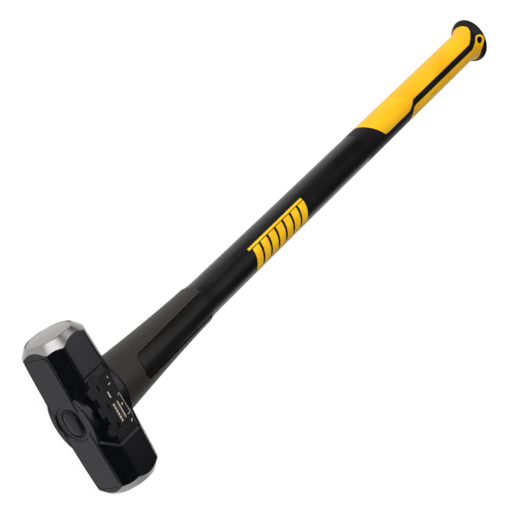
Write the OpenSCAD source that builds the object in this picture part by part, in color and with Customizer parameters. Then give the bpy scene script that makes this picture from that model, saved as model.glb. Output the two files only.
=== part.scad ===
// Sledgehammer with a composite shaft, an overstrike collar and a two-colour grip.
// The handle runs along +X from the head to the butt, the head lies along Y,
// and +Z is the cheek that faces up when the hammer lies on its side.

/* [Head] */
// Length of the head, strike face to strike face
head_len = 178; // [160:1:200]
// Width of the head over the cheeks, at its ends
head_w = 64; // [60:0.5:68]
// Height of the head along the handle, at its ends
head_h = 61.4; // [58:0.2:65]
// Leg of the long chamfers between cheeks and top
chamfer = 14; // [11:0.5:16]
// Swell of every side at the middle of the head
swell = 1.5; // [0.5:0.1:2.5]
// Radius of the polished strike face
face_r = 26; // [22:0.5:28]
// Radius of the flat middle of the strike face
face_flat_r = 20; // [14:0.5:22]
// Fall of the strike face from its flat middle to its edge
face_crown = 1.2; // [0.5:0.1:2.5]
// Length of the turned bevel behind the strike face
bevel_len = 26; // [22:0.5:30]
// Growth of the bevel's radius over that length
bevel_rise = 22; // [18:0.5:26]

/* [Cheek panels] */
// Depth of the sunken panel round the middle of each cheek
panel_depth = 2; // [1:0.1:2.5]
// Half length of the panel on the flat of the cheek
panel_half = 40; // [34:1:46]
// Half length of the panel where it meets the top of the head
panel_half_top = 24; // [20:1:28]
// Half length of the raised strip in each panel
strip_half = 33.5; // [30:0.5:34]
// Number of teeth on the strip
tooth_count = 3; // [1:1:3]
// Distance from tooth to tooth
tooth_pitch = 21.6; // [16:0.2:22]
// Length of one tooth along the head
tooth_l = 10; // [8:0.5:12]

/* [Eye] */
// Length of the oval eye along the head
eye_l = 34; // [30:1:38]
// Width of the oval eye across the head
eye_w = 25; // [23:1:28]
// Radius of the round recess at the top of the eye
recess_r = 20.6; // [19:0.2:21.5]
// Depth of that recess
recess_depth = 3.2; // [2:0.2:4]
// Half length of the swelling round the eye
boss_half_l = 43; // [38:1:46]
// Half width of the swelling round the eye
boss_half_w = 27; // [25.5:0.5:28]

/* [Handle] */
// Overall length of the hammer
overall_len = 915; // [880:1:930]
// Radius of the shaft and of the grip
shaft_r = 20.7; // [19.5:0.1:22]
// Radius of the shaft beside the end of the collar
shoulder_r = 22.3; // [22:0.1:22.6]
// Radius of the reinforcing rod
core_r = 10; // [8:0.5:11]

/* [Collar] */
// Length of the overstrike collar
collar_len = 164; // [140:1:180]
// Radius of the collar at its far end
collar_end_r = 23.2; // [22.8:0.1:24]
// Growth of the collar's radius towards the head
collar_flare = 9.2; // [6:0.2:10]
// Half width of the collar's flattened sides at the head
collar_flat = 26.6; // [25:0.2:28]
// Half width of the window in each side of the collar
window_half = 15; // [12:0.5:16]
// Distance from the head to the round end of the window
window_gap = 33; // [26:1:40]

/* [Grip] */
// Distance from the eye centre to the start of the rubber grip
grip_start = 560; // [500:5:570]
// Depth of the rubber grip on the shaft
grip_wall = 3.4; // [3:0.1:4]
// Thickness of the bright grip panels
panel_skin = 1.2; // [0.8:0.1:1.6]
// Half width of the dark stripe between the two panels
stripe_half = 4; // [3:0.2:5]
// Half length of the flared butt along the head
knob_r = 29.9; // [27:0.1:31]
// Half width of the flared butt across the head
knob_flat = 24.9; // [23:0.1:27]
// Length of the flare
flare_len = 20.8; // [18:0.2:26]
// Slant of the butt end, in degrees
butt_tilt = 1.7; // [0:0.1:4]
// Radius of the lanyard hole
hole_r = 4.6; // [3:0.1:5]
// Width of the bright ring round the lanyard hole
ring_w = 2.6; // [2:0.1:4]

/* [Printed marks] */
// Thickness of the printed films
film = 0.25; // [0.2:0.05:0.4]
// Distance from the eye centre to the start of the shaft mark
mark_start = 293; // [250:1:320]
// Length of the shaft mark
mark_len = 119; // [80:1:140]
// Direction that the shaft mark faces, measured round the shaft
mark_turn = 8; // [0:1:12]

/* [Hidden] */
$fn = 96;

eps = 0.01;
big = 400;
half_len = head_len / 2;
mid_w = head_w / 2 + swell;
mid_h = head_h / 2 + swell;
// distance from the head's axis to a chamfer, at the middle
mid_d = (head_w / 2 + head_h / 2 - chamfer) / sqrt(2) + swell;
swell_span = 76;
swell_r = (pow(swell_span, 2) + pow(swell, 2)) / (2 * swell);
swell_fn = 720;
// radius of the curve from the flat middle of the face to its edge
crown_w = face_r - face_flat_r;
crown_r = (pow(crown_w, 2) + pow(face_crown, 2)) / (2 * face_crown);
seat = mid_h + 0.4;
boss_side_r = (pow(boss_half_l, 2) + pow(boss_half_w, 2)) / (2 * boss_half_w);
strip_drop = 0.75;
strip_x0 = -14.5;
strip_x1 = -1;
tooth_x = -20;
pocket_x0 = -11.5;
pocket_x1 = -5;
pocket_half = 3.6;
eye_r = eye_w / 2;
plug_top = -seat + recess_depth;
plug_h = 5;
// steps of the plug above the recess floor: groove, rim and middle
groove_rise = 0.1;
rim_rise = 1.2;
middle_rise = 2.4;
groove_gap = 1.7;
middle_gap = 2.9;
fit_gap = 0.15;

collar_end = seat + collar_len;
collar_skin = 0.8;
collar_wall = 2.5;
flare_steps = 16;
flat_taper = 0.02;
shoulder_len = 24;
window_end_r = 7;
window_start = seat + window_gap;

butt_x = overall_len - seat - knob_r * tan(butt_tilt);
flare_x = butt_x - flare_len;
flare_power = 1.69;
grip_inner_r = shaft_r - grip_wall;
hole_x = butt_x - 10.4;
hole_y = -0.8;
grip_end_x = flare_x - 4;
ring_r = hole_r + ring_w;
core_end = flare_x - 8;

// lowest line of the cheeks, where the hammer rests
rest_z = mid_w - swell * pow(panel_half / swell_span, 2);
centre_x = (overall_len - 2 * seat) / 2;

// puts the hammer on its cheek, centred over the origin
module place() {
    translate([-centre_x, 0, rest_z]) children();
}

// slab along Y whose two faces are m away from its middle plane and swell gently
module swollen_slab(m) {
    rotate([90, 0, 90])
        linear_extrude(height = big, center = true)
            intersection() {
                translate([0, m - swell_r]) circle(r = swell_r, $fn = swell_fn);
                translate([0, swell_r - m]) circle(r = swell_r, $fn = swell_fn);
            }
}

// eight-sided body of the head, with cheeks and chamfers set in by "inset"
module head_sides(inset) {
    intersection() {
        swollen_slab(mid_w - inset);
        rotate([0, 90, 0]) swollen_slab(mid_h);
        rotate([0, 45, 0]) swollen_slab(mid_d - inset);
        rotate([0, -45, 0]) swollen_slab(mid_d - inset);
    }
}

// turned outline that gives the strike faces, with their eased edges and bevels
module head_turned() {
    rotate([-90, 0, 0])
        rotate_extrude($fn = 180)
            difference() {
                polygon([
                    [0, -half_len], [face_r, -half_len],
                    [face_r, -half_len + face_crown],
                    [face_r + bevel_rise, -half_len + bevel_len],
                    [face_r + bevel_rise, half_len - bevel_len],
                    [face_r, half_len - face_crown],
                    [face_r, half_len], [0, half_len],
                ]);
                for (side = [-1, 1]) {
                    translate([face_flat_r, side * half_len]) eased_corner(side);
                }
            }
}

// waste outside the curved edge of the strike face
module eased_corner(side) {
    difference() {
        translate([0, side > 0 ? -face_crown : -eps])
            square([crown_w + eps, face_crown + eps]);
        translate([0, -side * crown_r]) circle(r = crown_r, $fn = swell_fn);
    }
}

// outline of the sunken panel, seen on the cheek
module panel_outline() {
    edge = head_h / 2 - chamfer;
    polygon([
        [-edge, -panel_half], [edge, -panel_half], [seat + 1, -panel_half_top],
        [seat + 1, panel_half_top], [edge, panel_half], [-edge, panel_half],
        [-seat - 1, panel_half_top], [-seat - 1, -panel_half_top],
    ]);
}

module eye_outline(gap = 0) {
    r = eye_r - gap;
    shift = eye_l / 2 - eye_r;
    translate([0, shift]) circle(r = r);
    translate([0, -shift]) circle(r = r);
    square([2 * r, 2 * shift], center = true);
}

// the eye's outline drawn along the handle, from x0 to x1
module eye_prism(x0, x1, gap = 0) {
    translate([x0, 0, 0])
        rotate([0, 90, 0])
            linear_extrude(height = x1 - x0) eye_outline(gap);
}

// lens-shaped swelling round the eye
module eye_boss() {
    translate([-seat, 0, 0])
        rotate([0, 90, 0])
            linear_extrude(height = 2 * seat)
                intersection() {
                    translate([boss_half_w - boss_side_r, 0]) circle(r = boss_side_r, $fn = 240);
                    translate([boss_side_r - boss_half_w, 0]) circle(r = boss_side_r, $fn = 240);
                }
}

// middle of one tooth along the head
function tooth_y(i) = (i - (tooth_count - 1) / 2) * tooth_pitch;

// outline of the toothed strip with its pockets, seen on the cheek
module strip_outline() {
    difference() {
        union() {
            translate([strip_x0, -strip_half])
                square([strip_x1 - strip_x0, 2 * strip_half]);
            for (i = [0 : tooth_count - 1]) {
                translate([tooth_x, tooth_y(i) - tooth_l / 2])
                    square([strip_x0 - tooth_x + eps, tooth_l]);
            }
        }
        for (i = [0 : tooth_count - 1]) {
            translate([pocket_x0, tooth_y(i) - pocket_half])
                square([pocket_x1 - pocket_x0, 2 * pocket_half]);
        }
    }
}

// raised strip along the top edge of both panels
module toothed_strip() {
    intersection() {
        swollen_slab(mid_w - strip_drop);
        linear_extrude(height = big, center = true) strip_outline();
    }
}

module head() {
    color([0.13, 0.13, 0.15])
        place()
            difference() {
                union() {
                    difference() {
                        intersection() {
                            head_sides(0);
                            head_turned();
                        }
                        difference() {
                            linear_extrude(height = big, center = true) panel_outline();
                            head_sides(panel_depth);
                        }
                    }
                    eye_boss();
                    toothed_strip();
                }
                eye_prism(-big, big);
                translate([-seat - eps, 0, 0])
                    rotate([0, 90, 0])
                        cylinder(h = recess_depth + eps, r1 = recess_r, r2 = eye_l / 2 + 0.3);
            }
}

module eye_plug() {
    color([0.22, 0.22, 0.25])
        place() {
            difference() {
                eye_prism(plug_top - rim_rise, plug_top + plug_h, fit_gap);
                eye_prism(plug_top - big, plug_top - groove_rise, groove_gap);
            }
            eye_prism(plug_top - middle_rise, plug_top + plug_h, middle_gap);
        }
}

module eye_bond() {
    color([0.55, 0.45, 0.3])
        place()
            difference() {
                eye_prism(plug_top + plug_h, seat);
                rotate([0, 90, 0]) cylinder(h = big, r = core_r, center = true);
            }
}

module core_rod() {
    start = plug_top + plug_h;
    color([0.75, 0.72, 0.6])
        place()
            translate([start, 0, 0])
                rotate([0, 90, 0]) cylinder(h = core_end - start, r = core_r);
}

// radius of the collar at x
function collar_r(x) =
    collar_end_r + collar_flare * pow((collar_end - x) / collar_len, 1.4);

// flared body between the head and the collar's far end, set in by "inset"
module flared_body(inset) {
    stations = [for (i = [0 : flare_steps]) seat + collar_len * i / flare_steps];
    intersection() {
        rotate([0, 90, 0])
            rotate_extrude()
                polygon(concat(
                    [[0, seat]],
                    [for (x = stations) [collar_r(x) - inset, x]],
                    [[0, collar_end]]
                ));
        rotate([90, 0, 0])
            linear_extrude(height = big, center = true)
                polygon([
                    [seat, -collar_flat + inset], [seat, collar_flat - inset],
                    [collar_end, collar_flat - flat_taper * collar_len - inset],
                    [collar_end, -collar_flat + flat_taper * collar_len + inset],
                ]);
    }
}

// window shape, round at the head end and open at the far end
module window_prism() {
    linear_extrude(height = big, center = true) {
        for (side = [-1, 1]) {
            translate([window_start + window_end_r, side * (window_half - window_end_r)])
                circle(r = window_end_r);
        }
        translate([window_start, -window_half + window_end_r])
            square([window_end_r, 2 * (window_half - window_end_r)]);
        translate([window_start + window_end_r, -window_half])
            square([collar_end - window_start, 2 * window_half]);
    }
}

// solid of revolution about the handle, from pairs of [radius, x]
module turned(points) {
    rotate([0, 90, 0]) rotate_extrude() polygon(points);
}

module shaft() {
    color([0.1, 0.1, 0.1])
        place()
            difference() {
                union() {
                    flared_body(collar_wall);
                    intersection() {
                        flared_body(collar_skin);
                        window_prism();
                    }
                    turned([
                        [0, collar_end], [shoulder_r, collar_end],
                        [shaft_r + 0.5, collar_end + shoulder_len],
                        [shaft_r, collar_end + 8 * shoulder_len], [shaft_r, grip_start],
                        [grip_inner_r, grip_start], [grip_inner_r, grip_end_x], [0, grip_end_x],
                    ]);
                }
                rotate([0, 90, 0])
                    translate([0, 0, -eps]) cylinder(h = core_end + eps, r = core_r);
            }
}

module collar() {
    color([0.26, 0.25, 0.24])
        place()
            difference() {
                flared_body(0);
                flared_body(collar_wall);
                window_prism();
            }
}

// half cosine wave of the flare, from 0 at its start to 1 at the butt
function wave(k) = (1 - cos(180 * pow(k, flare_power))) / 2;

// body of revolution that flares from the shaft to the radius r, set in by "inset"
module flared_grip(r, inset) {
    steps = 14;
    slope = [for (i = [1 : steps])
        [shaft_r - inset + (r - shaft_r) * wave(i / steps), flare_x + flare_len * i / steps]];
    turned(concat(
        [[0, grip_start], [shaft_r - inset, grip_start], [shaft_r - inset, flare_x]],
        slope,
        [[r - inset, butt_x + 20], [0, butt_x + 20]]
    ));
}

// outer form of the rubber grip with its flattened, slanted butt, set in by "inset"
module grip_form(inset) {
    difference() {
        intersection() {
            flared_grip(knob_r, inset);
            translate([grip_start - eps, -big / 2, inset - knob_flat])
                cube([big, big, 2 * (knob_flat - inset)]);
        }
        translate([butt_x, 0, 0])
            rotate([0, 0, -butt_tilt])
                translate([big / 2, 0, 0]) cube(big, center = true);
    }
}

// outline of the long front panel
module front_outline() {
    polygon([
        [562, 45], [583, 21], [602, -3], [607, -4.7], [668, -4.7],
        [676, -1], [684, stripe_half], [846, stripe_half], [852, 6.2], [860.7, 10.2],
        [868.8, 14.6], [872.6, 20], [874.5, 45],
    ]);
}

// outline of the short rear panel, which ends in a ring round the lanyard hole
module rear_outline() {
    polygon(concat(
        [[660, -45], [668, -21], [673, -12.6], [679, -5.2], [685, -stripe_half],
         [849, -4.3], [854.6, -1.6], [861.8, 1.3]],
        [for (t = [120 : -10 : -30]) [hole_x + ring_r * cos(t), hole_y + ring_r * sin(t)]],
        [[874.9, -8], [871.2, -15.6], [871.8, -20], [873.4, -25], [875.8, -29], [876, -45]]
    ));
}

// outer skin of the grip, where the panels lie
module grip_skin() {
    difference() {
        grip_form(0);
        grip_form(panel_skin);
    }
}

module lanyard_drill() {
    translate([hole_x, hole_y, 0]) cylinder(h = big, r = hole_r, center = true);
}

module grip() {
    color([0.07, 0.06, 0.08])
        place()
            difference() {
                grip_form(0);
                translate([grip_start - eps, 0, 0])
                    rotate([0, 90, 0])
                        cylinder(h = grip_end_x - grip_start + eps, r = grip_inner_r);
                intersection() {
                    grip_skin();
                    linear_extrude(height = big, center = true) {
                        front_outline();
                        rear_outline();
                    }
                }
                lanyard_drill();
            }
}

module front_panel() {
    color([0.98, 0.76, 0.08])
        place()
            intersection() {
                grip_skin();
                linear_extrude(height = big, center = true) front_outline();
            }
}

module rear_panel() {
    color([0.95, 0.68, 0.08])
        place()
            difference() {
                intersection() {
                    grip_skin();
                    linear_extrude(height = big, center = true) rear_outline();
                }
                lanyard_drill();
            }
}

// bars and slanted blocks of the shaft mark, as one connected outline
module mark_outline() {
    bar = 2.2;
    half = 14.6;
    count = 7;
    slit = 4.3;
    lean = 6;
    margin = 0.5;
    step = (mark_len - 2 * margin - lean + slit) / count;
    translate([0, half - bar]) square([mark_len, bar]);
    translate([0, -half]) square([mark_len, bar]);
    for (i = [0 : count - 1]) {
        translate([margin + i * step, 0])
            polygon([
                [0, -half + eps], [step - slit, -half + eps],
                [step - slit + lean, half - eps], [lean, half - eps],
            ]);
    }
}

module shaft_mark() {
    color([0.98, 0.8, 0.1])
        place()
            intersection() {
                difference() {
                    turned([
                        [0, mark_start], [shaft_r + 0.6 + film, mark_start],
                        [shaft_r + 0.6 + film, mark_start + mark_len], [0, mark_start + mark_len],
                    ]);
                    shaft_envelope();
                }
                rotate([mark_turn, 0, 0])
                    translate([mark_start, 0, 0])
                        linear_extrude(height = big) mark_outline();
            }
}

// outer surface of the shaft between the collar and the grip
module shaft_envelope() {
    turned([
        [0, collar_end], [shaft_r + 0.5, collar_end + shoulder_len],
        [shaft_r, collar_end + 8 * shoulder_len], [shaft_r, grip_start], [0, grip_start],
    ]);
}

// thin printed plate on the floor of the upper cheek panel
module cheek_label() {
    label_l = 62;
    label_w = 17.3;
    color([0.2, 0.2, 0.2])
        place()
            intersection() {
                difference() {
                    head_sides(panel_depth - film);
                    head_sides(panel_depth);
                }
                translate([-0.5, -label_l / 2, 0]) cube([label_w, label_l, big]);
            }
}

head();
eye_plug();
eye_bond();
core_rod();
shaft();
collar();
grip();
front_panel();
rear_panel();
shaft_mark();
cheek_label();
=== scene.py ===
# %% [markdown]
# # A long-handled sledgehammer, piece by piece
# The hammer lies on one cheek of its head. Its sizes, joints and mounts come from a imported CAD
# model, and this lesson gives that model its looks: a forged, enamelled head with bright turned
# faces, a moulded collar, a smooth shaft and a two-colour rubber grip. Every visible piece is
# modelled with the same operators that a person uses by hand: add a primitive, go into edit
# mode, extrude, resize, bevel and cut, then apply a modifier or two.

# %% Load the frame
import math

import bpy
from mathutils import Matrix, Vector


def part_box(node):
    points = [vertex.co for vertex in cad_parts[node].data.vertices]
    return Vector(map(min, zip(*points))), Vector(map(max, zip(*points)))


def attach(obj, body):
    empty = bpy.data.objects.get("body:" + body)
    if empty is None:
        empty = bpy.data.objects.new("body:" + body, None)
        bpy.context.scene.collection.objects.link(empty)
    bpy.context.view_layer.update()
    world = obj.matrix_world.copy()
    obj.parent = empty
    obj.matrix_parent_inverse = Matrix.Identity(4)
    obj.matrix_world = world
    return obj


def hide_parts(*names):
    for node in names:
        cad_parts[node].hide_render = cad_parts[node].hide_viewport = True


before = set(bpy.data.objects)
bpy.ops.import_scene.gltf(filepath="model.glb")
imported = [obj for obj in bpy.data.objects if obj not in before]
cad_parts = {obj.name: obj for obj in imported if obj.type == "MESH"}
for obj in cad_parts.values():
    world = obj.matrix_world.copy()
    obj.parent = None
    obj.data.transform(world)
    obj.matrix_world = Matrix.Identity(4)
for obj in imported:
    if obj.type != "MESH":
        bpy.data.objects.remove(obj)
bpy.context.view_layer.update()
print("nodes:", sorted(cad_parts))

# %% [markdown]
# ## Where things are
# The handle runs along +X, the head lies along Y, and +Z points out of the cheek that faces up.
# Two numbers place everything: where the middle of the eye is along X, and how high the
# handle's middle line lies above the floor. Both come from the frame. Sizes are easier to read
# in millimetres, so `MM` turns them into metres.

# %% Middle of the eye and line of the handle
MM = 0.001
CLEAR = 5.0      # how far a cutting tool runs past what it cuts
THROUGH = 60.0   # half height of a prism that goes through the whole hammer
FURTHER = 70.0   # half height of a prism that goes through such a prism
head_low, head_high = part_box("head")
rod_low, rod_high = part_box("core_rod")
EYE_X = (head_low.x + head_high.x) / 2
AXIS_Z = (rod_low.z + rod_high.z) / 2
SEAT = (head_high.x - head_low.x) / 2 / MM
HALF_HEAD = (head_high.y - head_low.y) / 2 / MM


def at(along, side, up):
    """The point that far in mm along the handle from the eye, along the head, and upwards."""
    return Vector((EYE_X + along * MM, side * MM, AXIS_Z + up * MM))


print("eye at x =", round(EYE_X, 4), "handle line at z =", round(AXIS_Z, 4))

# %% [markdown]
# ## Helpers for working by hand in code
# In the window a person clicks on faces and edges. Here they are picked by a rule about their
# place or direction. Everything is deselected first, because an operator acts on all that is
# selected. More helpers follow at the step that first needs them.


# %% Selecting pieces, faces, edges and points
def clear_picks():
    """Leaves edit mode and deselects every object."""
    if bpy.context.object and bpy.context.object.mode != "OBJECT":
        bpy.ops.object.mode_set(mode="OBJECT")
    bpy.ops.object.select_all(action="DESELECT")


def hold(piece):
    """Makes a piece the only selected and active one."""
    clear_picks()
    piece.select_set(True)
    bpy.context.view_layer.objects.active = piece


def named(name):
    """Names the piece that an operator has just added, and fixes its place in its mesh."""
    piece = bpy.context.object
    piece.name = name
    piece.data.name = name
    bpy.ops.object.transform_apply(location=True, rotation=True, scale=True)
    return piece


def pick(piece, kind, rule):
    """Goes into edit mode with only the faces, edges or points that pass the rule selected."""
    hold(piece)
    mesh = piece.data
    for part in (mesh.vertices, mesh.edges, mesh.polygons):
        part.foreach_set("select", [False] * len(part))
    if kind == "FACE":
        for face in mesh.polygons:
            face.select = rule(face.center, face.normal)
    elif kind == "EDGE":
        for edge in mesh.edges:
            a, b = (mesh.vertices[i].co for i in edge.vertices)
            edge.select = rule((a + b) / 2, (b - a).normalized())
    else:
        for point in mesh.vertices:
            point.select = rule(point.co)
    bpy.ops.object.mode_set(mode="EDIT")
    bpy.ops.mesh.select_mode(type=kind)


def pick_all(piece):
    """Goes into edit mode with the whole piece selected."""
    hold(piece)
    bpy.ops.object.mode_set(mode="EDIT")
    bpy.ops.mesh.select_mode(type="VERT")
    bpy.ops.mesh.select_all(action="SELECT")


# %% [markdown]
# ## Camera
# The hammer is seen from above its striking face, with the camera rolled over so that the handle
# climbs to the upper right. The camera is made first, and its place, target, roll and lens
# are the only numbers here that belong to the view and not to the hammer.

# %% Camera
CAMERA_PLACE = Vector((-1.5757, 0.5636, 1.4359))
CAMERA_TARGET = Vector((-0.25275, 0.03721, 0.17784))
CAMERA_ROLL = 76.35
CAMERA_LENS = 126.9

camera_data = bpy.data.cameras.new("camera")
camera_data.lens = CAMERA_LENS
camera_data.sensor_width = 36
camera = bpy.data.objects.new("camera", camera_data)
bpy.context.scene.collection.objects.link(camera)
looking = (CAMERA_TARGET - CAMERA_PLACE).to_track_quat("-Z", "Y").to_matrix().to_4x4()
camera.matrix_world = (Matrix.Translation(CAMERA_PLACE) @ looking
                       @ Matrix.Rotation(math.radians(CAMERA_ROLL), 4, "Z"))
bpy.context.scene.camera = camera
print("camera at", [round(v, 3) for v in CAMERA_PLACE])

# %% [markdown]
# ## The head: an eight-sided forging
# The head is an eight-sided bar that swells a little towards its middle. It starts as a
# cube. Its four long edges are bevelled into the wide chamfers, the eight new edges are
# softened, and the bar is cut into stations along its length so that each station can be resized
# a little to make the swell. It is drawn longer than the head, because turning trims its ends.

# %% Swollen eight-sided bar
HEAD_W = 64.0
HEAD_H = 61.4
CHAMFER = 14.0
SWELL = 1.5
SWELL_SPAN = 76.0
STATION = 6.0
STATION_COUNT = 15
BAR_LEN = 2.2 * HALF_HEAD
EDGE_SOFT = 2.2

clear_picks()
bpy.ops.mesh.primitive_cube_add(size=1, location=at(0, 0, 0),
                                scale=(HEAD_H * MM, BAR_LEN * MM, HEAD_W * MM))
bar = named("head_bar")
pick(bar, "EDGE", lambda middle, way: abs(way.y) > 0.9)
bpy.ops.mesh.bevel(offset=CHAMFER * MM, segments=1)
pick(bar, "EDGE", lambda middle, way: abs(way.y) > 0.9)
bpy.ops.mesh.bevel(offset=EDGE_SOFT * MM, segments=4)


def swell(piece):
    """Cuts a bar into stations along Y and makes it fuller towards the middle."""
    stations = [i * STATION for i in range(-STATION_COUNT, STATION_COUNT + 1)]
    for y in stations:
        pick_all(piece)
        bpy.ops.mesh.bisect(plane_co=at(0, y, 0), plane_no=(0, 1, 0))
    for y in stations:
        pick(piece, "VERT", lambda place, y=y: abs(place.y - y * MM) < 0.1 * MM)
        fuller = 1 + SWELL / (HEAD_W / 2) * (1 - (y / SWELL_SPAN) ** 2)
        bpy.ops.transform.resize(value=(fuller, 1, fuller), center_override=at(0, y, 0))
    hold(piece)


swell(bar)
print("bar is", [round(v / MM, 1) for v in bar.dimensions], "mm")

# %% [markdown]
# ## The sunken panel on each cheek
# Around the middle of both cheeks the forging is 2 mm lower, with sloping walls. The panel is
# long on the flat of the cheek and narrows over the chamfers. Planes cut its border into the
# bar, and one inset with a negative depth then sinks the whole region and makes its walls. A
# copy of the plain bar is kept, because later pieces follow its swell.


# %% Copy of a piece
def duplicate(piece, name):
    """A copy with its own mesh."""
    copy = piece.copy()
    copy.data = piece.data.copy()
    copy.name = name
    bpy.context.scene.collection.objects.link(copy)
    return copy


# %% Border cuts and inset
PANEL_DEPTH = 2.0
PANEL_HALF = 40.0
PANEL_HALF_TOP = 24.0
CHEEK_HALF = HEAD_H / 2 + SWELL - CHAMFER
slant = Vector((PANEL_HALF - PANEL_HALF_TOP, SEAT - CHEEK_HALF, 0)).normalized()

plain_bar = duplicate(bar, "plain_bar")
for side in (-1, 1):
    pick_all(bar)
    bpy.ops.mesh.bisect(plane_co=at(0, side * PANEL_HALF, 0), plane_no=(0, 1, 0))
    for end in (-1, 1):
        pick(bar, "FACE", lambda place, normal, end=end: (place.x - EYE_X) * end > 0
             and abs(normal.z) > 0.1)
        bpy.ops.mesh.bisect(plane_co=at(end * CHEEK_HALF, side * PANEL_HALF, 0),
                            plane_no=(end * slant.x, side * slant.y, 0))


def on_panel(place, normal):
    """True for the cheek and chamfer faces inside the panel's border."""
    along = abs(place.x - EYE_X) / MM
    share = max(0.0, (along - CHEEK_HALF) / (SEAT - CHEEK_HALF))
    half = PANEL_HALF - share * (PANEL_HALF - PANEL_HALF_TOP)
    return abs(normal.z) > 0.5 and abs(place.y) / MM < half


for up in (-1, 1):
    pick(bar, "FACE", lambda place, normal, up=up: on_panel(place, normal)
         and (place.z - AXIS_Z) * up > 0)
    bpy.ops.mesh.inset(thickness=PANEL_DEPTH * MM, depth=-PANEL_DEPTH * MM,
                       use_even_offset=True)
hold(bar)
print("bar with panels has", len(bar.data.polygons), "faces")

# %% [markdown]
# ## Turned ends
# After forging, both ends are turned on a lathe to a steep bevel and a slightly domed face. A
# turned body is drawn ring by ring from the middle outwards, and the bar keeps only what lies
# inside it. The scalloped border between paint and bright steel comes out of that cut by itself.


# %% Modifiers and booleans
def modify(piece, kind, **settings):
    """Adds a modifier with these settings and applies it."""
    hold(piece)
    modifier = piece.modifiers.new(kind.title(), kind)
    for key, value in settings.items():
        setattr(modifier, key, value)
    bpy.ops.object.modifier_apply(modifier=modifier.name)
    return piece


def combine(piece, tool, how):
    """Unites, cuts or intersects a piece with a tool, which is then thrown away."""
    modify(piece, "BOOLEAN", object=tool, operation=how, solver="EXACT")
    bpy.data.objects.remove(tool)
    return piece


# %% Turned body and intersection
FACE_R = 26.0
FACE_CROWN = 1.2
BEVEL_LEN = 26.0
BEVEL_RISE = 22.0
RIM_ROUND = 1.3
rim = [(FACE_R + RIM_ROUND * (1 - math.sin(turn)),
        HALF_HEAD - FACE_CROWN - RIM_ROUND * (1 - math.cos(turn)))
       for turn in (0.0, 0.5, 1.0, 1.5)]
dome = [(FACE_R * k, HALF_HEAD - FACE_CROWN * k * k) for k in (0.92, 0.8, 0.6, 0.4, 0.2, 0.02)]
turned_rings = [(FACE_R + BEVEL_RISE, HALF_HEAD - BEVEL_LEN), *rim, *dome]

clear_picks()
bpy.ops.mesh.primitive_cylinder_add(vertices=160, radius=turned_rings[0][0] * MM,
                                    depth=2 * turned_rings[0][1] * MM,
                                    location=at(0, 0, 0), rotation=(math.pi / 2, 0, 0))
turned = named("turned_body")
for end in (-1, 1):
    pick(turned, "FACE", lambda place, normal, end=end: normal.y * end > 0.9)
    last_r, last_y = turned_rings[0]
    for ring_r, ring_y in turned_rings[1:]:
        step = end * (ring_y - last_y) * MM
        bpy.ops.mesh.extrude_region_move(TRANSFORM_OT_translate={"value": (0, step, 0)})
        bpy.ops.transform.resize(value=(ring_r / last_r, 1, ring_r / last_r),
                                 center_override=at(0, end * ring_y, 0))
        last_r, last_y = ring_r, ring_y
combine(bar, turned, "INTERSECT")
print("turned bar is", [round(v / MM, 1) for v in bar.dimensions], "mm")

# %% [markdown]
# ## Swelling round the eye
# The handle passes through the head in the eye, and the forging is fuller there: an oval drum
# stands out over the chamfers on both sides. It is a cylinder squeezed to an oval, with softened
# rims, and it ends just under the top and bottom of the bar it is joined to.

# %% Eye drum
DRUM_HALF_L = 39.0
DRUM_HALF_W = 27.0
DRUM_DROP = 0.95
DRUM_SOFT = 1.8

clear_picks()
bpy.ops.mesh.primitive_cylinder_add(vertices=128, radius=1, depth=2, location=at(0, 0, 0),
                                    rotation=(0, math.pi / 2, 0))
drum = bpy.context.object
drum_half = (SEAT - DRUM_DROP) * MM
drum.scale = (DRUM_HALF_W * MM, DRUM_HALF_L * MM, drum_half)
drum = named("eye_drum")
pick(drum, "EDGE", lambda middle, way: abs(abs(middle.x - EYE_X) - drum_half) < 0.01 * MM)
bpy.ops.mesh.bevel(offset=DRUM_SOFT * MM, segments=4)
combine(bar, drum, "UNION")
print("head with its swelling has", len(bar.data.polygons), "faces")

# %% [markdown]
# ## Pressed fields on top and bottom
# The press leaves a very shallow field with round corners and sloping walls on the top and the
# bottom of the head. Each tool is a flat block with rounded corners that narrows inwards, and a
# copy of the bar, made slimmer by the field's depth, is cut out of it, so that the field's floor
# keeps the bar's own swell.

# %% Shallow fields
FIELD_DEPTH = 0.7
FIELD_HALF_L = 79.0
FIELD_HALF_W = 18.6
FIELD_CORNER = 9.0
FIELD_TAPER = 7.0
FIELD_TOOL = 8.0
FIELD_TOOL_DROP = 0.5

slim_bar = duplicate(plain_bar, "slim_bar")
pick_all(slim_bar)
slim = 1 - FIELD_DEPTH / (HEAD_H / 2)
bpy.ops.transform.resize(value=(slim, 1, 1), center_override=at(0, 0, 0))
for end in (-1, 1):
    clear_picks()
    bpy.ops.mesh.primitive_cube_add(size=1, location=at(end * (SEAT - FIELD_TOOL_DROP), 0, 0),
                                    scale=(FIELD_TOOL * MM, 2 * FIELD_HALF_L * MM,
                                           2 * FIELD_HALF_W * MM))
    field = named("pressed_field")
    pick(field, "EDGE", lambda middle, way: abs(way.x) > 0.9)
    bpy.ops.mesh.bevel(offset=FIELD_CORNER * MM, segments=8)
    pick(field, "FACE", lambda place, normal, end=end: normal.x * end < -0.9)
    bpy.ops.transform.resize(value=(1, 1 - FIELD_TAPER / FIELD_HALF_L,
                                    1 - FIELD_TAPER / FIELD_HALF_W))
    hold(field)
    combine(field, duplicate(slim_bar, "slim_copy"), "DIFFERENCE")
    combine(bar, field, "DIFFERENCE")
bpy.data.objects.remove(slim_bar)
print("head with its pressed fields has", len(bar.data.polygons), "faces")

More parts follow.
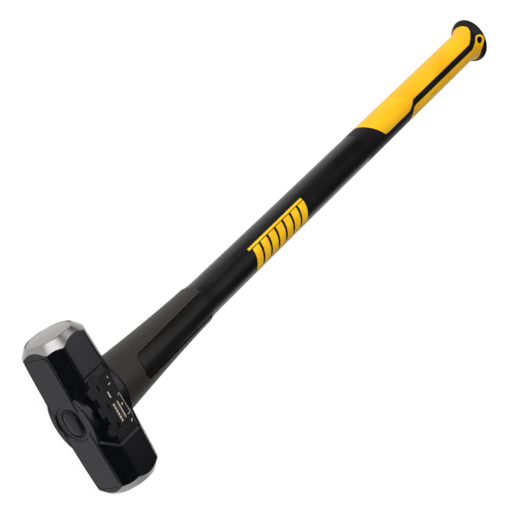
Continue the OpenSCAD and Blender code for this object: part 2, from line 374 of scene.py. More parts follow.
# %% [markdown]
# ## Raised pattern in the panel
# Each panel carries a raised, toothed strip: three round-cornered teeth reach out over the
# chamfer, and behind each tooth there is a pocket down to the panel's floor. The strip is drawn
# from above as an outline and runs through the whole head, so one piece serves both cheeks.
# Its two end faces are inset and raised in three small steps, which rounds them: a bevel would
# fold over at the outline's tight corners. The pockets are cut last.


# %% Prism over an outline
def cut_from_outline(name, outline, low, high, corner=0.0):
    """A prism over an outline of (along, side) points in mm, drawn point by point."""
    clear_picks()
    bpy.ops.mesh.primitive_plane_add(size=MM, location=at(*outline[0], low))
    piece = named(name)
    pick_all(piece)
    bpy.ops.mesh.merge(type="CENTER")
    for (x0, y0), (x1, y1) in zip(outline, outline[1:]):
        step = ((x1 - x0) * MM, (y1 - y0) * MM, 0)
        bpy.ops.mesh.extrude_region_move(TRANSFORM_OT_translate={"value": step})
    bpy.ops.mesh.select_all(action="SELECT")
    bpy.ops.mesh.edge_face_add()
    if corner:
        bpy.ops.mesh.bevel(offset=corner * MM, segments=5, affect="VERTICES")
        bpy.ops.mesh.select_all(action="SELECT")
    bpy.ops.mesh.extrude_region_move(TRANSFORM_OT_translate={"value": (0, 0, (high - low) * MM)})
    bpy.ops.mesh.select_all(action="SELECT")
    bpy.ops.mesh.normals_make_consistent(inside=False)
    hold(piece)
    return piece


# %% Toothed strip with pockets
STRIP_HALF = 33.5
STRIP_START = -14.5
STRIP_END = -1.0
TOOTH_PITCH = 21.6
TOOTH_HALF = 5.0
TOOTH_END = -20.0
POCKET_START = -11.5
POCKET_END = -5.0
POCKET_HALF = 3.6
POCKET_CORNER = 1.2
STRIP_UP = 32.75
STRIP_CORNER = 1.3
STRIP_ROUND = 0.7
STRIP_STEPS = ((0.1, 0.35), (0.25, 0.23), (0.35, 0.12))

tooth_sides = [(i - 1) * TOOTH_PITCH for i in range(3)]
strip_outline = [(STRIP_END, STRIP_HALF), (STRIP_END, -STRIP_HALF), (STRIP_START, -STRIP_HALF)]
for side in tooth_sides:
    strip_outline += [(STRIP_START, side - TOOTH_HALF), (TOOTH_END, side - TOOTH_HALF),
                      (TOOTH_END, side + TOOTH_HALF), (STRIP_START, side + TOOTH_HALF)]
strip_outline += [(STRIP_START, STRIP_HALF)]
strip = cut_from_outline("toothed_strip", strip_outline, STRIP_ROUND - STRIP_UP,
                         STRIP_UP - STRIP_ROUND, STRIP_CORNER)
pick(strip, "FACE", lambda place, normal: abs(normal.z) > 0.9)
for inset, rise in STRIP_STEPS:
    bpy.ops.mesh.inset(thickness=inset * MM, depth=rise * MM)
hold(strip)
for side in tooth_sides:
    pocket_outline = [(POCKET_START, side - POCKET_HALF), (POCKET_END, side - POCKET_HALF),
                      (POCKET_END, side + POCKET_HALF), (POCKET_START, side + POCKET_HALF)]
    combine(strip, cut_from_outline("pocket", pocket_outline, -FURTHER, FURTHER, POCKET_CORNER),
            "DIFFERENCE")
print("strip is", [round(v / MM, 1) for v in strip.dimensions], "mm")
combine(bar, strip, "UNION")

# %% [markdown]
# ## The eye's mouth
# At the top of the head the eye opens in a shallow round dish, and the oval hole starts at the
# dish's floor. Two tools cut them: a dish drawn in rings along X, and an oval pin. The head is
# then finished: doubles are merged, and it is shaded smooth except at its sharp edges.


# %% Body drawn in rings
def sections(name, rings, points=128):
    """A closed body along X, drawn ring by ring: each ring is (x, half y, half z, turn)."""
    clear_picks()
    x, half_y, half_z, turn = rings[0]
    bpy.ops.mesh.primitive_circle_add(vertices=points, radius=MM, fill_type="NGON",
                                      location=at(x, 0, 0), rotation=(0, math.pi / 2, 0))
    piece = named(name)
    pick_all(piece)
    bpy.ops.transform.resize(value=(1, half_y, half_z), center_override=at(x, 0, 0))
    for next_x, next_y, next_z, next_turn in rings[1:]:
        step = (next_x - x) * MM
        bpy.ops.mesh.extrude_region_move(TRANSFORM_OT_translate={"value": (step, 0, 0)})
        middle = at(next_x, 0, 0)
        bpy.ops.transform.resize(value=(1, next_y / half_y, next_z / half_z),
                                 center_override=middle)
        if next_turn != turn:
            bpy.ops.transform.rotate(value=math.radians(next_turn - turn), orient_axis="Z",
                                     center_override=middle)
        x, half_y, half_z, turn = next_x, next_y, next_z, next_turn
    pick_all(piece)
    bpy.ops.mesh.normals_make_consistent(inside=False)
    hold(piece)
    return piece


# %% Cleaning, softening and shading
def finish_shape(piece, soft=0.0, sharp=40, segments=2):
    """Cleans a mesh, rounds its sharp edges if asked, and shades it smooth up to an angle."""
    pick_all(piece)
    bpy.ops.mesh.remove_doubles(threshold=0.00001)
    bpy.ops.mesh.normals_make_consistent(inside=False)
    hold(piece)
    if soft:
        modify(piece, "BEVEL", width=soft * MM, segments=segments, limit_method="ANGLE",
               angle_limit=math.radians(sharp), use_clamp_overlap=True)
    hold(piece)
    bpy.ops.object.shade_smooth_by_angle(angle=math.radians(sharp))
    modify(piece, "WEIGHTED_NORMAL", keep_sharp=True)
    print(piece.name, "has", len(piece.data.polygons), "faces")
    return piece


# %% Dish and oval hole
DISH_R = 20.6
DISH_DEPTH = 3.2
HEAD_SHARP = 28
EYE_HALF_L = 17.0
EYE_HALF_W = 12.5


def oval_pin(name, low, high, gap):
    """An oval pin along X: a cylinder whose two halves are moved apart."""
    clear_picks()
    bpy.ops.mesh.primitive_cylinder_add(vertices=72, radius=(EYE_HALF_W - gap) * MM,
                                        depth=(high - low) * MM, rotation=(0, math.pi / 2, 0),
                                        location=at((low + high) / 2, 0, 0))
    pin = named(name)
    for half in (-1, 1):
        pick(pin, "VERT", lambda place, half=half: place.y * half > 0.01 * MM)
        bpy.ops.transform.translate(value=(0, half * (EYE_HALF_L - EYE_HALF_W) * MM, 0))
    hold(pin)
    return pin


dish_profile = [(-2, 3.4), (0.2, 1.2), (0.5, 0.5), (0.9, 0.1), (1.6, -0.3), (2.5, -0.9),
                (3.0, -1.6), (DISH_DEPTH, -2.8)]
dish = sections("dish", [(-SEAT + down, DISH_R + wider, DISH_R + wider, 0)
                         for down, wider in dish_profile])
combine(bar, dish, "DIFFERENCE")
combine(bar, oval_pin("eye_hole", -SEAT - CLEAR, SEAT + CLEAR, 0), "DIFFERENCE")
head = bar
head.name = "forged_head"
head.data.name = "forged_head"
finish_shape(head, sharp=HEAD_SHARP)

# %% [markdown]
# ## Plug in the eye
# The handle's end is closed with a moulded oval plug. It lies at the dish's floor: a rounded
# rim, a fine groove, and a gently domed middle. It is an oval pin whose top face is inset and
# moved again and again. Each step is (inset, rise) in mm.

# %% Oval plug
PLUG_GAP = 0.15
PLUG_RIM_STEPS = ((0.3, 0.5), (0.5, 0.5), (0.4, 0.2), (0.4, -0.1))
PLUG_GROOVE_STEPS = ((0.3, -1.1), (0.9, 0.0), (0.3, 1.1))
PLUG_DOME_STEPS = ((0.6, 0.6), (1.2, 0.5), (2.2, 0.4), (2.6, 0.1))
plug_foot = (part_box("eye_plug")[1].x - EYE_X) / MM
plug = oval_pin("oval_plug", -SEAT + DISH_DEPTH, plug_foot, PLUG_GAP)
pick(plug, "FACE", lambda place, normal: normal.x < -0.9)
for inset, rise in PLUG_RIM_STEPS + PLUG_GROOVE_STEPS + PLUG_DOME_STEPS:
    bpy.ops.mesh.inset(thickness=inset * MM, depth=0)
    bpy.ops.transform.translate(value=(-rise * MM, 0, 0))
finish_shape(plug)

# %% [markdown]
# ## Flared body, collar and shaft
# Just behind the head the handle is wide and slightly flattened, and it narrows in a long
# curve. Both the shaft and the collar over it follow that curve, so one function gives the half
# width at each place. The shaft's body is drawn in rings along X.

# %% Flare and shaft
COLLAR_LEN = 164.0
COLLAR_END = SEAT + COLLAR_LEN
COLLAR_END_R = 23.2
COLLAR_FLARE = 9.2
COLLAR_FLAT = 26.6
COLLAR_POWER = 1.4
COLLAR_SKIN = 0.8
FLARE_STATIONS = 28
FOOT_IN_HEAD = 0.6
SHOULDER_R = 22.3
SHOULDER_LEN = 24
SHAFT_R = 20.7
SHAFT_SWELL = 0.5
TAPER_END = 192
grip_low, grip_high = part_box("grip")
GRIP_START = (grip_low.x - EYE_X) / MM
BUTT = (grip_high.x - EYE_X) / MM


def flare_ring(x, less):
    """Ring of the flared body at x, made smaller by less: (x, half y, half z, turn)."""
    left = (COLLAR_END - x) / COLLAR_LEN
    half_y = COLLAR_END_R + COLLAR_FLARE * left ** COLLAR_POWER
    half_z = COLLAR_END_R + (COLLAR_FLAT - COLLAR_END_R) * left
    return (x, half_y - less, min(half_y, half_z) - less, 0)


def flared_rings(less, start, end):
    """Rings of the flared body, made smaller by less, from start to end."""
    places = [SEAT + COLLAR_LEN * i / FLARE_STATIONS for i in range(FLARE_STATIONS + 1)]
    rings = [flare_ring(x, less) for x in places]
    rings[0] = (start, *rings[0][1:])
    rings[-1] = (end, *rings[-1][1:])
    return rings


shaft_rings = flared_rings(COLLAR_SKIN, SEAT - FOOT_IN_HEAD, COLLAR_END)
for share in (0.2, 0.4, 0.6, 0.8, 1.0):
    narrower = (SHOULDER_R - SHAFT_R - SHAFT_SWELL) * math.sin(1.57 * share)
    shaft_rings.append((COLLAR_END + SHOULDER_LEN * share, SHOULDER_R - narrower,
                        SHOULDER_R - narrower, 0))
shaft_rings += [(COLLAR_END + TAPER_END, SHAFT_R, SHAFT_R, 0), (GRIP_START, SHAFT_R, SHAFT_R, 0)]
shaft = sections("smooth_shaft", shaft_rings)
finish_shape(shaft)

# %% [markdown]
# ## Overstrike collar
# The collar takes the blows that miss. It is a thin moulded skin over the flared body, open at
# the far end of both flat sides in a long window with a round end. The outer body is drawn in
# rings, its core is cut away, and the two windows are cut with one tall prism. The shaft shows
# through them, with a narrow groove in it that follows the windows' edge as a dark line.

# %% Collar skin with windows
WINDOW_HALF = 15.0
WINDOW_START = SEAT + 33.0
WINDOW_ROUND = 7.0
COLLAR_WALL = 1.6
GROOVE_WIDTH = 1.1
GROOVE_DEPTH = 1.6
TOOL_END = COLLAR_END + 9

collar = sections("overstrike_collar", flared_rings(0, SEAT - FOOT_IN_HEAD, COLLAR_END))
collar_core = sections("collar_core",
                       flared_rings(COLLAR_WALL, SEAT - CLEAR, COLLAR_END + CLEAR))
combine(collar, collar_core, "DIFFERENCE")


def window_outline(less, end):
    """Outline of the window, made smaller by less, up to this end."""
    edge = [(end, WINDOW_HALF - less)]
    for degrees in range(0, 91, 15):
        turn = math.radians(degrees)
        edge.append((WINDOW_START + less + WINDOW_ROUND * (1 - math.sin(turn)),
                     WINDOW_HALF - less - WINDOW_ROUND * (1 - math.cos(turn))))
    return edge + [(x, -y) for x, y in reversed(edge)]


window = cut_from_outline("window", window_outline(0, COLLAR_END + 20), -THROUGH, THROUGH)
combine(collar, window, "DIFFERENCE")
finish_shape(collar, soft=0.45, segments=3)

# %% Groove along the windows' edge
groove = cut_from_outline("groove", window_outline(0, COLLAR_END + 1), -THROUGH, THROUGH)
pad = cut_from_outline("pad", window_outline(GROOVE_WIDTH, TOOL_END), -FURTHER, FURTHER)
combine(groove, pad, "DIFFERENCE")
groove_floor = sections("groove_floor",
                        flared_rings(COLLAR_SKIN + GROOVE_DEPTH, SEAT - CLEAR, TOOL_END))
combine(groove, groove_floor, "DIFFERENCE")
combine(shaft, groove, "DIFFERENCE")
finish_shape(shaft)

# %% [markdown]
# ## Grip body
# The rubber grip ends in a flare that keeps it in the hand, and its butt is slanted. The rings
# follow half a cosine wave from the shaft's radius to the flare's, and each ring is turned
# a little further, so that the last one lies at the slant.

# %% Grip form and lanyard pin
KNOB_R = 29.9
KNOB_R_FLAT = 24.9
BUTT_TILT = 1.7
FLARE_LEN = 19.6
FLARE_POWER = 1.69
FLARE_STEPS = 18
RIM_SOFT = 1.2
RIM_STEPS = 6
GRIP_SKIN = 1.2
BUTT_MID = BUTT - KNOB_R * math.tan(math.radians(BUTT_TILT))
KNOB_X = BUTT_MID - RIM_SOFT
FLARE_X = KNOB_X - FLARE_LEN
HOLE_FROM_BUTT = 10.4
HOLE_X = BUTT_MID - HOLE_FROM_BUTT
HOLE_SIDE = -0.8
HOLE_R = 4.6
RING_R = 7.2


def grip_rings(less):
    """Rings of the grip, made smaller by less."""
    rings = [(x, SHAFT_R - less, SHAFT_R - less, 0)
             for x in (GRIP_START, GRIP_START + 0.4, 640, 700, 760, 820, FLARE_X)]
    for i in range(1, FLARE_STEPS + 1):
        wave = (1 - math.cos(math.pi * (i / FLARE_STEPS) ** FLARE_POWER)) / 2
        half_y = SHAFT_R + (KNOB_R - SHAFT_R) * wave - less
        half_z = SHAFT_R + (KNOB_R_FLAT - SHAFT_R) * wave - less
        rings.append((FLARE_X + FLARE_LEN * i / FLARE_STEPS, half_y, half_z, BUTT_TILT * wave))
    for i in range(1, RIM_STEPS + 1):
        turn = math.pi / 2 * i / RIM_STEPS
        drop = RIM_SOFT * (1 - math.cos(turn))
        rings.append((KNOB_X + RIM_SOFT * math.sin(turn), KNOB_R - drop - less,
                      KNOB_R_FLAT - drop - less, BUTT_TILT))
    rings.append((BUTT_MID, (KNOB_R - RIM_SOFT) * 0.7, (KNOB_R_FLAT - RIM_SOFT) * 0.7, BUTT_TILT))
    return rings


def lanyard_pin():
    """Tool for the lanyard hole."""
    clear_picks()
    bpy.ops.mesh.primitive_cylinder_add(vertices=64, radius=HOLE_R * MM, depth=80 * MM,
                                        location=at(HOLE_X, HOLE_SIDE, 0))
    return named("lanyard_pin")


grip = sections("rubber_grip", grip_rings(0))
skin_core = sections("skin_core", grip_rings(GRIP_SKIN))
hold(grip)
print("grip is", [round(v / MM, 1) for v in grip.dimensions], "mm")

# %% [markdown]
# ## Bright panels in the grip
# Two yellow panels are moulded into the black grip. Seen from the cheek side each has a plain
# outline, and the mould runs straight through, so the same outline works on both sides. A
# prism over the outline cuts the panel out of a copy of the grip, and the core takes its inside
# away. The same prism without the core cuts the black grip to receive the panel. The outlines
# are points (along, side) in mm from the eye.

# %% Panel outlines
STRIPE_HALF = 4.0
PANEL_CORNER = 1.2
front_outline = [(562, 45), (583, 21), (602, -3), (607, -4.7), (668, -4.7), (676, -1),
                 (684, STRIPE_HALF), (846, STRIPE_HALF), (852, 6.2), (860.7, 10.2),
                 (868.8, 14.6), (872.6, 20), (874.5, 45)]
ring_arc = [(HOLE_X + RING_R * math.cos(math.radians(a)),
             HOLE_SIDE + RING_R * math.sin(math.radians(a))) for a in range(120, -31, -10)]
rear_outline = [(660, -45), (668, -21), (673, -12.6), (679, -5.2), (685, -STRIPE_HALF),
                (849, -4.3), (854.6, -1.6), (861.8, 1.3), *ring_arc, (874.9, -8.0),
                (871.2, -15.6), (871.8, -20), (873.4, -25), (875.8, -29), (876, -45)]
print("outline points:", len(front_outline), "and", len(rear_outline))


# %% Cutting the panels and their beds
def bright_panel(name, outline, corner):
    """A panel of the grip's skin over an outline."""
    panel = duplicate(grip_whole, name)
    combine(panel, cut_from_outline("prism", outline, -THROUGH, THROUGH, corner), "INTERSECT")
    combine(panel, duplicate(skin_core, "skin_tool"), "DIFFERENCE")
    return panel


def panel_bed(outline, corner):
    """Tool that cuts a panel's bed: the prism without the core."""
    bed = cut_from_outline("bed", outline, -THROUGH, THROUGH, corner)
    return combine(bed, duplicate(skin_core, "bed_core"), "DIFFERENCE")


grip_whole = duplicate(grip, "grip_whole")
front = bright_panel("front_panel_skin", front_outline, PANEL_CORNER)
rear = bright_panel("rear_panel_skin", rear_outline, 0.0)
combine(rear, lanyard_pin(), "DIFFERENCE")
combine(grip, panel_bed(front_outline, PANEL_CORNER), "DIFFERENCE")
combine(grip, panel_bed(rear_outline, 0.0), "DIFFERENCE")
combine(grip, lanyard_pin(), "DIFFERENCE")
bpy.data.objects.remove(grip_whole)
bpy.data.objects.remove(skin_core)
for panel in (front, rear):
    finish_shape(panel, soft=0.35, segments=3)
finish_shape(grip, soft=0.25)

# %% [markdown]
# ## Printed mark on the shaft
# The shaft carries a plain yellow print: two bars with a row of slanted blocks between them.
# The shapes are drawn flat as prisms, turned a little round the handle, and a thin tube over
# the shaft is cut down to them. The prisms don't touch, because joined pieces that overlap
# confuse the cut.


# %% Joining pieces
def join(parts, main):
    """Joins pieces into the main one."""
    clear_picks()
    for part in parts:
        part.select_set(True)
    bpy.context.view_layer.objects.active = main
    bpy.ops.object.join()
    return main


# %% Bars and slanted blocks
mark_low, mark_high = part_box("shaft_mark")
MARK_START = (mark_low.x - EYE_X) / MM
MARK_LEN = (mark_high.x - mark_low.x) / MM
MARK_HALF = 14.6
MARK_BAR = 2.2
MARK_GAP = 1.0
MARK_BLOCKS = 7
MARK_SLIT = 4.3
MARK_LEAN = 6.0
MARK_TURN = 8.0
MARK_FILM = 0.25


def mark_shapes():
    """Outlines of the two bars and the slanted blocks."""
    end = MARK_START + MARK_LEN
    inner = MARK_HALF - MARK_BAR - MARK_GAP
    shapes = []
    for side in (-1, 1):
        low, high = sorted((side * MARK_HALF, side * (MARK_HALF - MARK_BAR)))
        shapes.append([(MARK_START, low), (end, low), (end, high), (MARK_START, high)])
    step = (MARK_LEN - MARK_LEAN + MARK_SLIT) / MARK_BLOCKS
    for i in range(MARK_BLOCKS):
        x = MARK_START + i * step
        width = step - MARK_SLIT
        shapes.append([(x, -inner), (x + width, -inner),
                       (x + width + MARK_LEAN, inner), (x + MARK_LEAN, inner)])
    return shapes


def shaft_radius(x):
    """Radius of the shaft at x, between the collar and the grip."""
    share = min(1.0, (x - COLLAR_END - SHOULDER_LEN) / (TAPER_END - SHOULDER_LEN))
    return SHAFT_R + SHAFT_SWELL * (1 - share)


def print_tube(name, thicker, longer):
    """A tube's outer body over the printed length, thicker than the shaft and longer."""
    rings = []
    for x, way in ((MARK_START - CLEAR, -1), (MARK_START + MARK_LEN + CLEAR, 1)):
        radius = shaft_radius(x) + thicker
        rings.append((x + way * longer, radius, radius, 0))
    return sections(name, rings, 160)


mark = print_tube("yellow_mark", MARK_FILM, 0)
combine(mark, print_tube("mark_core", -0.2, 1), "DIFFERENCE")
prisms = [cut_from_outline(f"mark_{i}", shape, 4, THROUGH)
          for i, shape in enumerate(mark_shapes())]
shapes = join(prisms, prisms[0])
shapes.matrix_world = (Matrix.Translation(at(0, 0, 0))
                       @ Matrix.Rotation(math.radians(MARK_TURN), 4, "X")
                       @ Matrix.Translation(-at(0, 0, 0)))
hold(shapes)
bpy.ops.object.transform_apply(location=True, rotation=True, scale=True)
combine(mark, shapes, "INTERSECT")
finish_shape(mark)

# %% [markdown]
# ## Label in the upper panel
# A thin dark label lies between the toothed strip and the handle side of the upper panel. On it
# is pale line work: a row of dashes, two solid bars, a few thin lines and a few ticks. All of it
# is cut with slimmer copies of the plain bar, so that it follows the panel's floor.

# %% Label plate and lines
LABEL_START = -0.5
LABEL_END = 16.8
LABEL_HALF = 31.0
PLATE_FILM = 0.14
BROWN_FILM = 0.2
PALE_FILM = 0.22
FLOOR_UP = HEAD_W / 2 + SWELL - PANEL_DEPTH


def bar_outline(x0, y0, x1, y1, width):
    """Outline of a straight bar of this width from one point to another."""
    way = Vector((x1 - x0, y1 - y0)).normalized()
    off = Vector((-way.y, way.x)) * width / 2
    return [(x0 + off.x, y0 + off.y), (x1 + off.x, y1 + off.y),
            (x1 - off.x, y1 - off.y), (x0 - off.x, y0 - off.y)]


def laid_on_floor(name, outlines, height):
    """Flat shapes on the panel's floor, this high above it."""
    parts = [cut_from_outline(f"{name}_{i}", outline, FLOOR_UP - 1, FLOOR_UP + 3)
             for i, outline in enumerate(outlines)]
    film = join(parts, parts[0])
    level = duplicate(plain_bar, "level")
    pick_all(level)
    share = (FLOOR_UP + height) / (HEAD_W / 2 + SWELL)
    bpy.ops.transform.resize(value=(1, 1, share), center_override=at(0, 0, 0))
    hold(level)
    combine(film, level, "INTERSECT")
    film.name = name
    return finish_shape(film)


dashes = [bar_outline(1.4, -1.6 - 3.6 * i, 1.4, -4.4 - 3.6 * i, 3.0) for i in range(6)]
pale_strokes = [(7.9, -2.0, 7.9, -21.7, 1.3), (15.6, 3.4, 16.2, -20.0, 0.6),
                (14.9, 3.2, 12.4, 1.2, 0.6), (15.5, -20.3, 11.5, -20.8, 0.6),
                (8.6, 16.8, 12.0, 17.2, 1.1), (3.2, 12.0, 3.2, 5.0, 1.8),
                (13.6, -27.0, 11.6, -29.3, 1.5), (12.6, -7.0, 11.2, -9.4, 1.4),
                (12.6, 24.6, 12.6, 22.4, 1.2)]
plate_outline = [(LABEL_START, -LABEL_HALF), (LABEL_END, -LABEL_HALF),
                 (LABEL_END, LABEL_HALF), (LABEL_START, LABEL_HALF)]
label = laid_on_floor("label_plate", [plate_outline], PLATE_FILM)
pale_lines = laid_on_floor("pale_lines", dashes + [bar_outline(*stroke) for stroke in pale_strokes],
                           PALE_FILM)
brown_line = laid_on_floor("brown_line", [bar_outline(5.6, -2.0, 5.6, -21.7, 1.8)], BROWN_FILM)
bpy.data.objects.remove(plain_bar)

# %% [markdown]
# ## Materials
# Every finish is built from nodes, so it has the same grain from any side. The helpers below
# add a Principled shader, an object-space mapping and a bump chain; each finish then adds what
# is special about it.


# %% Node helpers
def new_finish(name, colour, roughness, **extra):
    """A material with a Principled shader; returns it with its nodes, links and shader."""
    material = bpy.data.materials.new(name)
    material.use_nodes = True
    nodes, links = material.node_tree.nodes, material.node_tree.links
    shader = nodes["Principled BSDF"]
    shader.inputs["Base Color"].default_value = (*colour, 1)
    shader.inputs["Roughness"].default_value = roughness
    for key, value in extra.items():
        shader.inputs[key.replace("_", " ").title().replace("Ior", "IOR")].default_value = value
    return material, nodes, links, shader


def placed_coords(nodes, links, offset=(0, 0, 0), scale=(1, 1, 1), turn=(0, 0, 0)):
    """Object coordinates, moved, turned and stretched."""
    coords = nodes.new("ShaderNodeTexCoord")
    mapping = nodes.new("ShaderNodeMapping")
    mapping.vector_type = "TEXTURE"
    mapping.inputs["Location"].default_value = offset
    mapping.inputs["Scale"].default_value = scale
    mapping.inputs["Rotation"].default_value = turn
    links.new(coords.outputs["Object"], mapping.inputs["Vector"])
    return mapping.outputs["Vector"]


def noise(nodes, links, vector, scale, detail=4.0, rough=0.55):
    """Noise value at this many cells per metre."""
    texture = nodes.new("ShaderNodeTexNoise")
    texture.inputs["Scale"].default_value = scale
    texture.inputs["Detail"].default_value = detail
    texture.inputs["Roughness"].default_value = rough
    links.new(vector, texture.inputs["Vector"])
    return texture.outputs["Fac"]


def bump(nodes, links, height, distance, strength, normal=None):
    """Bump of this height, added to an earlier one."""
    node = nodes.new("ShaderNodeBump")
    node.inputs["Distance"].default_value = distance
    node.inputs["Strength"].default_value = strength
    links.new(height, node.inputs["Height"])
    if normal is not None:
        links.new(normal, node.inputs["Normal"])
    return node.outputs["Normal"]


def spread(nodes, links, value, low, high, from_low=0.3, from_high=0.7):
    """The value mapped to a range."""
    node = nodes.new("ShaderNodeMapRange")
    node.inputs["From Min"].default_value = from_low
    node.inputs["From Max"].default_value = from_high
    node.inputs["To Min"].default_value = low
    node.inputs["To Max"].default_value = high
    links.new(value, node.inputs["Value"])
    return node.outputs["Result"]


def tint(nodes, links, value, dark, light):
    """A colour between two, by the value."""
    node = nodes.new("ShaderNodeValToRGB")
    node.color_ramp.elements[0].position = 0.3
    node.color_ramp.elements[0].color = (*dark, 1)
    node.color_ramp.elements[1].position = 0.7
    node.color_ramp.elements[1].color = (*light, 1)
    links.new(value, node.inputs["Fac"])
    return node.outputs["Color"]


# %% [markdown]
# ### Enamel and bright steel
# The forging is sprayed with a thin satin black enamel, so the skin of the steel still shows as
# a faint unevenness. The turned ends are bare: fine rings left by the lathe run round the head's
# axis, and they stretch every reflection.

# %% Head finishes
HEAD_CENTRE = at(0, 0, 0)


def enamel():
    """Satin black enamel over forged steel."""
    material, nodes, links, shader = new_finish(
        "black_enamel", (0.0015, 0.0017, 0.0024), 0.3, specular_ior_level=0.37)
    shader.inputs["Specular Tint"].default_value = (0.93, 0.92, 1.0, 1)
    place = placed_coords(nodes, links)
    skin = noise(nodes, links, place, 260, 5)
    peel = noise(nodes, links, place, 1500, 2)
    links.new(spread(nodes, links, skin, 0.26, 0.36), shader.inputs["Roughness"])
    links.new(tint(nodes, links, skin, (0.0012, 0.0014, 0.002), (0.0024, 0.0027, 0.0036)),
              shader.inputs["Base Color"])
    rough = bump(nodes, links, skin, 0.0004, 0.12)
    links.new(bump(nodes, links, peel, 0.00005, 0.25, rough), shader.inputs["Normal"])
    return material


def turned_steel():
    """Bare steel with fine lathe rings round the head's axis."""
    material, nodes, links, shader = new_finish(
        "turned_steel", (0.28, 0.275, 0.27), 0.24, metallic=1.0)
    shader.inputs["Anisotropic"].default_value = 0.5
    place = placed_coords(nodes, links, offset=HEAD_CENTRE)
    rings = nodes.new("ShaderNodeTexWave")
    rings.wave_type = "RINGS"
    rings.rings_direction = "Y"
    rings.inputs["Scale"].default_value = 420
    rings.inputs["Distortion"].default_value = 1.5
    rings.inputs["Detail"].default_value = 3
    links.new(place, rings.inputs["Vector"])
    cloud = noise(nodes, links, place, 45, 3)
    links.new(spread(nodes, links, cloud, 0.2, 0.32), shader.inputs["Roughness"])
    links.new(tint(nodes, links, cloud, (0.26, 0.255, 0.25), (0.31, 0.305, 0.3)),
              shader.inputs["Base Color"])
    links.new(bump(nodes, links, rings.outputs["Fac"], 0.00003, 0.35), shader.inputs["Normal"])
    return material


head.data.materials.clear()
head.data.materials.append(enamel())
head.data.materials.append(turned_steel())
bright_faces = 0
for face in head.data.polygons:
    bright = abs(face.normal.y) > 0.3 and abs(face.center.y) > (HALF_HEAD - BEVEL_LEN) * MM
    face.material_index = 1 if bright else 0
    bright_faces += bright
print("bright faces on the head:", bright_faces)

# %% [markdown]
# ### Plastics and rubbers
# The shaft is smooth and satin. The collar has fine ribs that run along it at a slant, like
# combed hair. The grip is matte rubber with a very fine stipple, and the yellow panels are the
# same rubber with more colour.


# %% Shaft, collar, grip and print finishes
RIB_SCALE = 115
RIB_SLANT = -0.28


def satin_plastic(name, colour, roughness):
    """Smooth moulded plastic with faint flow and fine pores."""
    material, nodes, links, shader = new_finish(
        name, colour, roughness, specular_ior_level=0.24)
    place = placed_coords(nodes, links, scale=(4, 1, 1))
    flow = noise(nodes, links, place, 90, 3)
    pores = noise(nodes, links, placed_coords(nodes, links), 2200, 2)
    links.new(spread(nodes, links, flow, roughness - 0.04, roughness + 0.06),
              shader.inputs["Roughness"])
    light = tuple(min(1, c * 1.35 + 0.001) for c in colour)
    links.new(tint(nodes, links, flow, colour, light), shader.inputs["Base Color"])
    links.new(bump(nodes, links, pores, 0.00003, 0.35), shader.inputs["Normal"])
    return material


def combed_plastic():
    """Warm grey-black moulding with fine slanted ribs."""
    material, nodes, links, shader = new_finish(
        "combed_plastic", (0.03, 0.028, 0.026), 0.5, specular_ior_level=0.3)
    place = placed_coords(nodes, links, offset=HEAD_CENTRE, turn=(0, 0, RIB_SLANT))
    comb = nodes.new("ShaderNodeTexWave")
    comb.wave_type = "BANDS"
    comb.bands_direction = "Y"
    comb.inputs["Scale"].default_value = RIB_SCALE
    comb.inputs["Distortion"].default_value = 0.6
    comb.inputs["Detail"].default_value = 1
    links.new(place, comb.inputs["Vector"])
    grain = noise(nodes, links, place, 700, 4)
    links.new(spread(nodes, links, grain, 0.42, 0.6), shader.inputs["Roughness"])
    links.new(tint(nodes, links, comb.outputs["Fac"], (0.0155, 0.0136, 0.0122),
                   (0.028, 0.0248, 0.022)), shader.inputs["Base Color"])
    ribs = bump(nodes, links, comb.outputs["Fac"], 0.0003, 0.25)
    links.new(bump(nodes, links, grain, 0.0001, 0.3, ribs), shader.inputs["Normal"])
    return material


def rubber(name, dark, light, roughness, gloss):
    """Soft rubber with a stipple and slow changes of tone."""
    material, nodes, links, shader = new_finish(
        name, light, roughness, specular_ior_level=gloss)
    place = placed_coords(nodes, links)
    tone = noise(nodes, links, place, 22, 3)
    stipple = nodes.new("ShaderNodeTexVoronoi")
    stipple.inputs["Scale"].default_value = 1400
    links.new(place, stipple.inputs["Vector"])
    links.new(tint(nodes, links, tone, dark, light), shader.inputs["Base Color"])
    links.new(spread(nodes, links, tone, roughness - 0.05, roughness + 0.07),
              shader.inputs["Roughness"])
    links.new(bump(nodes, links, stipple.outputs["Distance"], 0.00006, 0.4),
              shader.inputs["Normal"])
    return material


def paint_with(piece, material):
    """Gives a piece one finish."""
    piece.data.materials.clear()
    piece.data.materials.append(material)


# %% Painting the pieces
paint_with(shaft, satin_plastic("satin_shaft", (0.0045, 0.004, 0.0042), 0.3))
paint_with(plug, satin_plastic("satin_plug", (0.006, 0.0062, 0.008), 0.36))
paint_with(collar, combed_plastic())
paint_with(grip, rubber("black_rubber", (0.0026, 0.0022, 0.0026), (0.0046, 0.004, 0.0046),
                        0.5, 0.18))
bright_rubber = rubber("bright_rubber", (0.86, 0.43, 0.006), (0.95, 0.53, 0.011), 0.52, 0.2)
paint_with(front, bright_rubber)
paint_with(rear, bright_rubber)
paint_with(mark, satin_plastic("yellow_ink", (0.9, 0.46, 0.008), 0.45))
paint_with(label, satin_plastic("label_film", (0.004, 0.0045, 0.0042), 0.5))
paint_with(pale_lines, satin_plastic("pale_ink", (0.4, 0.36, 0.31), 0.5))
paint_with(brown_line, satin_plastic("brown_ink", (0.05, 0.03, 0.018), 0.5))
join((pale_lines, brown_line, label), label)
hidden_finishes = {"core_rod": ("rod_composite", (0.5, 0.45, 0.3)),
                   "eye_bond": ("cast_bond", (0.3, 0.2, 0.08))}
for node, (name, colour) in hidden_finishes.items():
    paint_with(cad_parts[node], satin_plastic(name, colour, 0.4))
print("finishes:", sorted(material.name for material in bpy.data.materials))

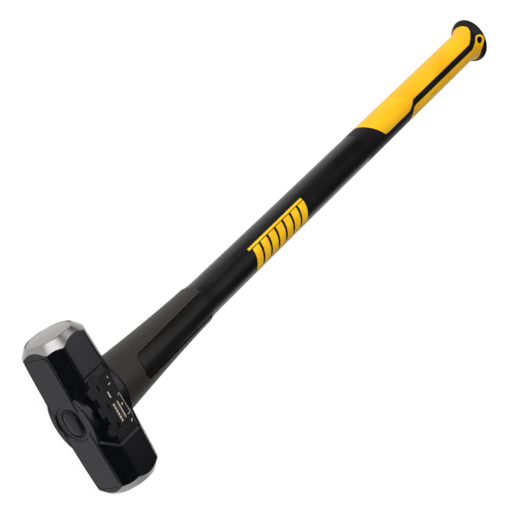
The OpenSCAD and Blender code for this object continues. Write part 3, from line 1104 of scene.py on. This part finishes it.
# %% [markdown]
# ## Riding on the frame
# The hammer has no moving parts, so every piece rides on the one body. Each piece also says
# which CAD node it stands for.

# %% Bodies, nodes and slots
pieces = [(head, "head", "head_enamel"), (plug, "eye_plug", "plug_resin"),
          (shaft, "shaft", "shaft_jacket"), (collar, "collar", "collar_moulding"),
          (grip, "grip", "grip_rubber"), (front, "front_panel", "bright_rubber"),
          (rear, "rear_panel", "bright_rubber"), (mark, "shaft_mark", "bright_print"),
          (label, "cheek_label", "label_print")]
for piece, node, slot_name in pieces:
    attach(piece, "root")
    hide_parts(node)
    triangles = sum(len(face.vertices) - 2 for face in piece.data.polygons)
    print(f"{piece.name} stands for {node}: {triangles} triangles")

# %% [markdown]
# ## Studio
# The floor is pale and glows a little, as a sweep lit from below does, so almost no shadow shows
# on it. Five soft lights do the rest. The key light hangs above and lights the top. The side
# light and the back light stand off the end of the head, and draw the bevels and the panel's
# walls. The cheek light hangs over the handle and lifts the cheek, and a weak fill stands on the
# other side. The room itself is dark, which keeps the enamel black.


# %% Floor and light helpers
def floor_finish():
    """Plain pale floor that glows, as a sweep lit from below does."""
    material, *_, shader = new_finish("pale_floor", (0.08, 0.08, 0.08), 0.9)
    shader.inputs["Specular IOR Level"].default_value = 0.1
    shader.inputs["Emission Color"].default_value = (1, 1, 1, 1)
    shader.inputs["Emission Strength"].default_value = 0.97
    return material


def soft_light(name, place, target, width, height, glow):
    """A rectangular soft light of this brightness that faces a target."""
    data = bpy.data.lights.new(name, "AREA")
    data.shape = "RECTANGLE"
    data.size, data.size_y = width, height
    data.energy = glow * math.pi * width * height
    light = bpy.data.objects.new(name, data)
    bpy.context.scene.collection.objects.link(light)
    light.location = place
    light.rotation_mode = "QUATERNION"
    light.rotation_quaternion = (Vector(target) - Vector(place)).to_track_quat("-Z", "Y")
    print(name, "is", width, "by", height, "m, glow", glow)


# %% Floor, lights and room
clear_picks()
bpy.ops.mesh.primitive_plane_add(size=14, location=(0, 0, 0))
floor = named("pale_floor")
paint_with(floor, floor_finish())

soft_light("key_light", (-0.7, 1.3, 2.9), (0, 0, 0.05), 1.6, 1.6, 9.5)
soft_light("side_light", (-1.4, 3.0, 0.95), (-0.3, 0, 0.05), 2.2, 1.9, 3.2)
soft_light("back_light", (1.3, 2.56, 1.4), (-0.4, 0, 0.05), 1.6, 1.6, 1.5)
soft_light("cheek_light", (1.15, 0.15, 2.4), (-0.3, 0, 0.05), 1.9, 1.0, 2.1)
soft_light("low_fill", (-0.3, -2.6, 1.6), (0, 0, 0.05), 2.0, 1.0, 0.7)

room = bpy.data.worlds.new("studio_room")
bpy.context.scene.world = room
room.use_nodes = True
room.node_tree.nodes["Background"].inputs["Color"].default_value = (1, 1, 1, 1)
room.node_tree.nodes["Background"].inputs["Strength"].default_value = 0.035
bpy.context.scene.view_settings.view_transform = "Standard"
